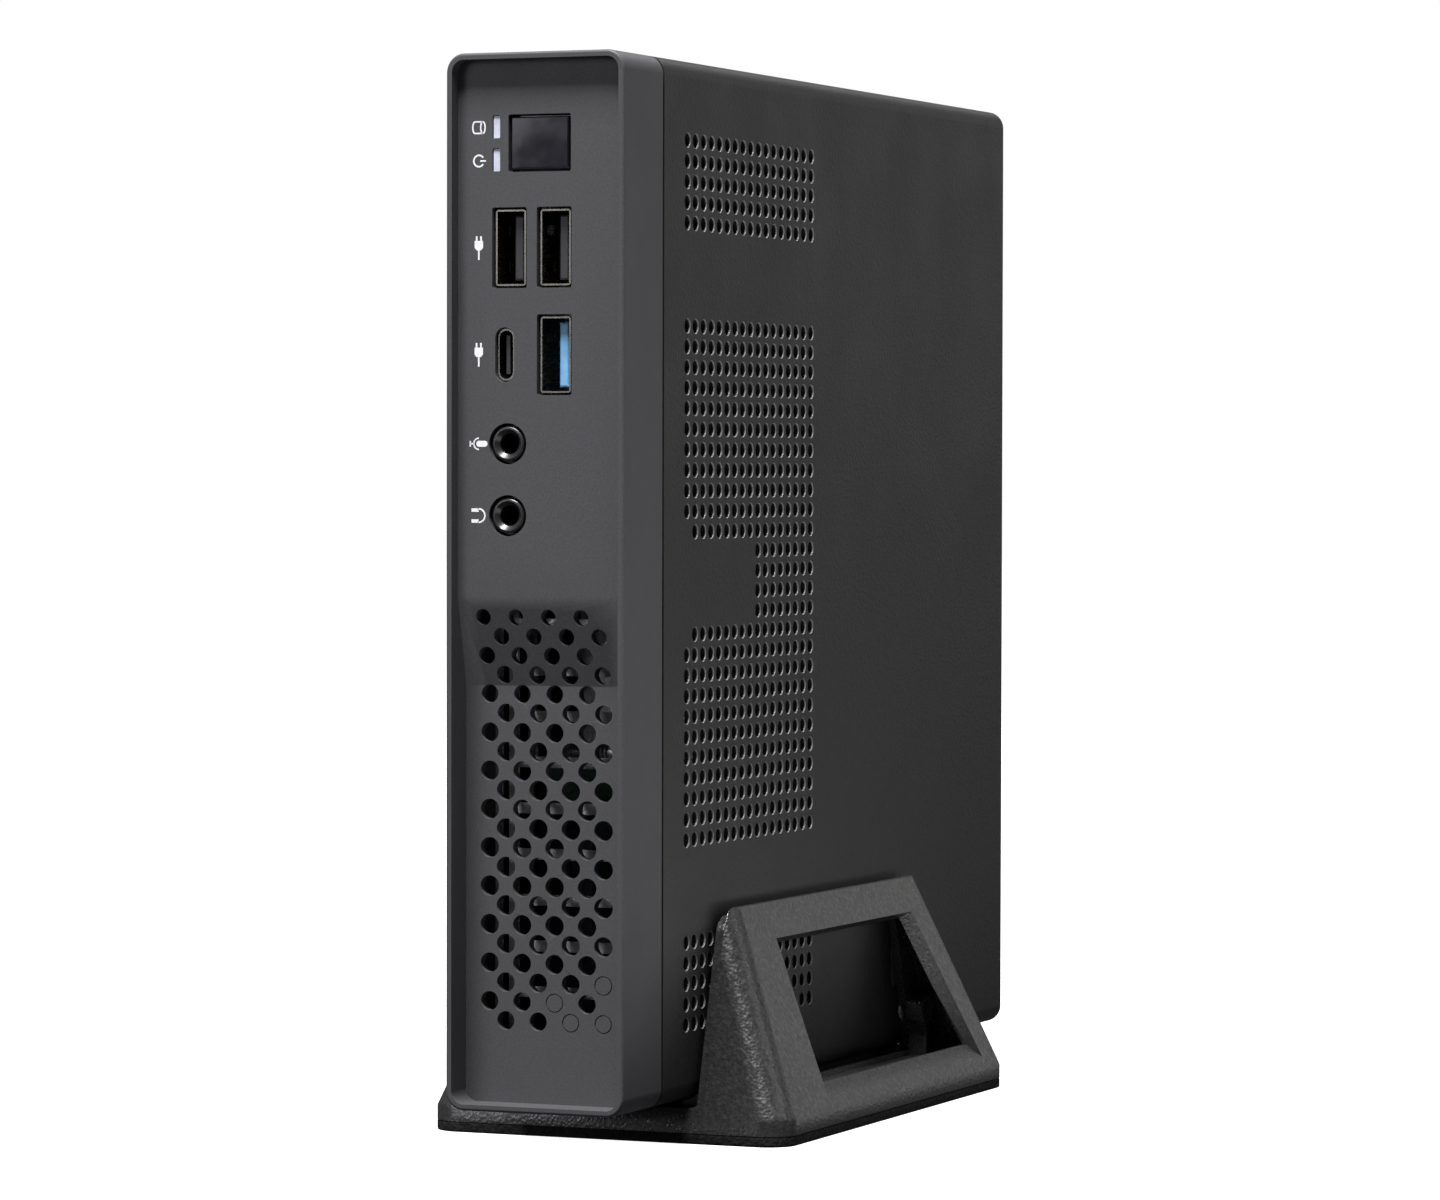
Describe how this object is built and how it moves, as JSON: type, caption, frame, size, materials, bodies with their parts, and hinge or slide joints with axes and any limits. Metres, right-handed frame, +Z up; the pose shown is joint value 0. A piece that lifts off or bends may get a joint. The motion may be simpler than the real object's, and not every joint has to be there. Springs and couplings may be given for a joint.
{
  "type": "mini pc",
  "caption": "Slim upright mini pc with a plastic two-wing stand, front ports, a sloped grille and a vented side cover.",
  "frame": {"origin": "on the table, in the middle of the object's footprint box", "axes": "+Z up, the front panel faces -Y, +X is the right side seen from the front"},
  "size_m": [0.0694, 0.1932, 0.1901],
  "materials": {
    "stand_plastic": "coarse grained black plastic",
    "black_rubber": "dull black foam rubber",
    "coated_steel": "black leather-grain powder coat",
    "bezel_plastic": "fine grained charcoal plastic",
    "button_gloss": "polished black",
    "black_gloss": "polished black",
    "black_plastic": "smooth black",
    "blue_plastic": "smooth blue",
    "lens": "frosted milky lens",
    "nickel": "bright nickel plate",
    "gold": "gold flash",
    "galvanised": "bare galvanised sheet",
    "zinc_steel": "zinc plated",
    "copper": "bare copper",
    "bare_aluminium": "mill finish",
    "board_green": "solder mask over glass fibre",
    "chip": "moulded black resin",
    "ribbon": "flat cable"
  },
  "bodies": {
    "stand": {"stand_cradle": "stand_plastic", "stand_wing_left": "stand_plastic", "stand_wing_right": "stand_plastic", "wing_screws": "zinc_steel", "stand_foam_pad": "black_rubber", "cradle_rest_strips": "black_rubber", "cradle_grip_strips": "black_rubber"},
    "case": {"chassis_tray": "coated_steel", "front_bezel": "bezel_plastic", "switch_board": "board_green", "tact_switch": "black_plastic", "light_lenses": "lens", "status_leds": "lens", "front_usb_shells": "nickel", "front_usb2_tongues": "black_plastic", "front_usb_contacts": "gold", "front_usb3_tongue": "blue_plastic", "front_usbc_shell": "nickel", "front_usbc_tongue": "black_plastic", "microphone_jack": "black_gloss", "headphone_jack": "black_gloss", "jack_springs": "gold", "front_io_board": "board_green", "front_io_bracket": "galvanised", "front_link_ribbon": "ribbon", "front_shield": "galvanised", "motherboard": "board_green", "board_standoffs": "zinc_steel", "board_screws": "zinc_steel", "cpu_package": "chip", "cold_plate": "copper", "heatsink": "bare_aluminium", "cooler_screws": "zinc_steel", "cooler_springs": "zinc_steel", "cooler_backplate": "galvanised", "fan_frame": "black_plastic", "fan_screws": "zinc_steel", "memory_sockets": "black_plastic", "memory_modules": "board_green", "m2_sockets": "black_plastic", "m2_storage_card": "board_green", "wireless_card": "board_green", "m2_posts": "zinc_steel", "storage_bay_bracket": "galvanised", "storage_drive": "bare_aluminium", "drive_screws": "zinc_steel", "coin_cell": "nickel", "coin_cell_holder": "black_plastic", "power_coils": "chip", "power_capacitors": "bare_aluminium", "chipset": "chip", "dc_jack": "black_plastic", "video_ports": "nickel", "lan_port": "nickel", "rear_usb_shells": "nickel", "rear_usb_tongues": "blue_plastic"},
    "cover": {"side_cover": "coated_steel", "thumb_screw": "coated_steel"},
    "power_button": {"power_button": "button_gloss"},
    "fan_rotor": {"fan_rotor": "black_plastic"}
  },
  "joints": [
    {"name": "case_lift", "type": "slide", "parent": "stand", "child": "case", "axis": [0, 0, 1], "range_m": [0, 0.045]},
    {"name": "cover_slide", "type": "slide", "parent": "case", "child": "cover", "axis": [0, 1, 0], "range_m": [0, 0.012]},
    {"name": "power_press", "type": "slide", "parent": "case", "child": "power_button", "axis": [0, 1, 0], "range_m": [0, 0.0008], "stiffness_N_per_m": 400},
    {"name": "fan_spin", "type": "hinge", "parent": "case", "child": "fan_rotor", "pos_m": [0, -0.0381, 0.0986], "axis": [1, 0, 0], "continuous": true}
  ]
}
